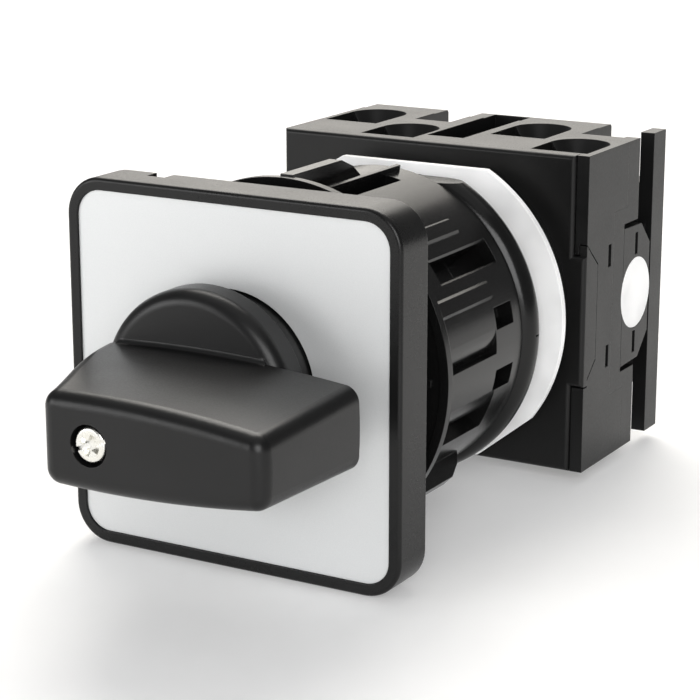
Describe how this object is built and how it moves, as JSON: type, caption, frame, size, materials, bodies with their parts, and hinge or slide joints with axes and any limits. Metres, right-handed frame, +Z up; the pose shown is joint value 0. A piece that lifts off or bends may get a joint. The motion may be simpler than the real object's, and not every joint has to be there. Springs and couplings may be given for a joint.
{
  "type": "rotary isolator switch",
  "caption": "Centre-mounting rotary isolator: pointer knob, square front plate, hand-tightened drum nut behind the panel and a cam contact block with screw terminals.",
  "frame": {"origin": "centre of the bezel's back face, where the switch seats on the panel, on the shaft axis", "axes": "+Y along the shaft towards the contact block behind the panel, -Y towards the operator, +Z up, +X to the operator's right"},
  "size_m": [0.048, 0.109, 0.048],
  "materials": {
    "knob_black": "satin moulded",
    "bezel_black": "satin moulded",
    "nut_black": "fine moulded grain",
    "housing_black": "fine moulded grain",
    "label_silver": "fine satin, printed silver",
    "marking_white": "smooth matt",
    "zinc_steel": "zinc plated",
    "spring_steel": "drawn steel",
    "inner_plastic": "natural moulded",
    "contact_brass": "bright rolled",
    "silver_tips": "polished silver",
    "seal_rubber": "matt"
  },
  "bodies": {
    "switch_body": {"bezel": "bezel_black", "label_plate": "label_silver", "mounting_collar": "bezel_black", "panel_seal": "seal_rubber", "spindle_seal": "seal_rubber", "coupling_flange": "nut_black", "index_housing": "housing_black", "marking_ring": "marking_white", "index_spring_upper": "spring_steel", "index_spring_lower": "spring_steel", "front_cover": "housing_black", "contact_housing_front": "housing_black", "contact_housing_rear": "housing_black", "rear_cover": "housing_black", "side_marking_disc": "marking_white", "tie_screws": "zinc_steel", "contact_spring_front_left": "spring_steel", "contact_spring_front_right": "spring_steel", "contact_spring_rear_left": "spring_steel", "contact_spring_rear_right": "spring_steel", "terminal_front_left_upper": "contact_brass", "terminal_front_left_lower": "contact_brass", "terminal_front_right_upper": "contact_brass", "terminal_front_right_lower": "contact_brass", "terminal_rear_left_upper": "contact_brass", "terminal_rear_left_lower": "contact_brass", "terminal_rear_right_upper": "contact_brass", "terminal_rear_right_lower": "contact_brass", "fixed_contact_tips": "silver_tips", "terminal_screws": "zinc_steel", "clamp_washers": "zinc_steel"},
    "knob_and_shaft": {"knob": "knob_black", "knob_screw": "zinc_steel", "operating_spindle": "inner_plastic", "spindle_circlip": "spring_steel", "cam_shaft": "spring_steel", "index_wheel": "inner_plastic", "cam_front": "inner_plastic", "cam_rear": "inner_plastic"},
    "thrust_ring": {"thrust_ring": "nut_black"},
    "clamp_nut": {"clamp_nut": "nut_black"},
    "contact_front_left": {"plunger_front_left": "inner_plastic", "contact_bridge_front_left": "contact_brass", "moving_tips_front_left": "silver_tips"},
    "contact_front_right": {"plunger_front_right": "inner_plastic", "contact_bridge_front_right": "contact_brass", "moving_tips_front_right": "silver_tips"},
    "contact_rear_left": {"plunger_rear_left": "inner_plastic", "contact_bridge_rear_left": "contact_brass", "moving_tips_rear_left": "silver_tips"},
    "contact_rear_right": {"plunger_rear_right": "inner_plastic", "contact_bridge_rear_right": "contact_brass", "moving_tips_rear_right": "silver_tips"}
  },
  "joints": [
    {"name": "knob_turn", "type": "hinge", "parent": "switch_body", "child": "knob_and_shaft", "pos_m": [0, 0, 0], "axis": [0, 1, 0], "range_deg": [-90, 0], "deforming": ["index_spring_upper", "index_spring_lower"]},
    {"name": "nut_travel", "type": "slide", "parent": "switch_body", "child": "thrust_ring", "axis": [0, 1, 0], "range_m": [-0.0051, 0]},
    {"name": "nut_spin", "type": "hinge", "parent": "thrust_ring", "child": "clamp_nut", "pos_m": [0, 0.02, 0], "axis": [0, 1, 0], "range_deg": [-1220, 0]},
    {"name": "contact_front_left_stroke", "type": "slide", "parent": "switch_body", "child": "contact_front_left", "axis": [-1, 0, 0], "range_m": [0, 0.0016], "deforming": ["contact_spring_front_left"]},
    {"name": "contact_front_right_stroke", "type": "slide", "parent": "switch_body", "child": "contact_front_right", "axis": [1, 0, 0], "range_m": [0, 0.0016], "deforming": ["contact_spring_front_right"]},
    {"name": "contact_rear_left_stroke", "type": "slide", "parent": "switch_body", "child": "contact_rear_left", "axis": [-1, 0, 0], "range_m": [0, 0.0016], "deforming": ["contact_spring_rear_left"]},
    {"name": "contact_rear_right_stroke", "type": "slide", "parent": "switch_body", "child": "contact_rear_right", "axis": [1, 0, 0], "range_m": [0, 0.0016], "deforming": ["contact_spring_rear_right"]}
  ],
  "couplings": [
    {"joint": "nut_travel", "follows": "nut_spin", "m_per_rad": 0.00023873},
    {"joint": "contact_front_left_stroke", "follows": "knob_turn", "m_per_rad": -0.0010185},
    {"joint": "contact_front_right_stroke", "follows": "knob_turn", "m_per_rad": -0.0010185},
    {"joint": "contact_rear_left_stroke", "follows": "knob_turn", "m_per_rad": -0.0010185},
    {"joint": "contact_rear_right_stroke", "follows": "knob_turn", "m_per_rad": -0.0010185}
  ]
}
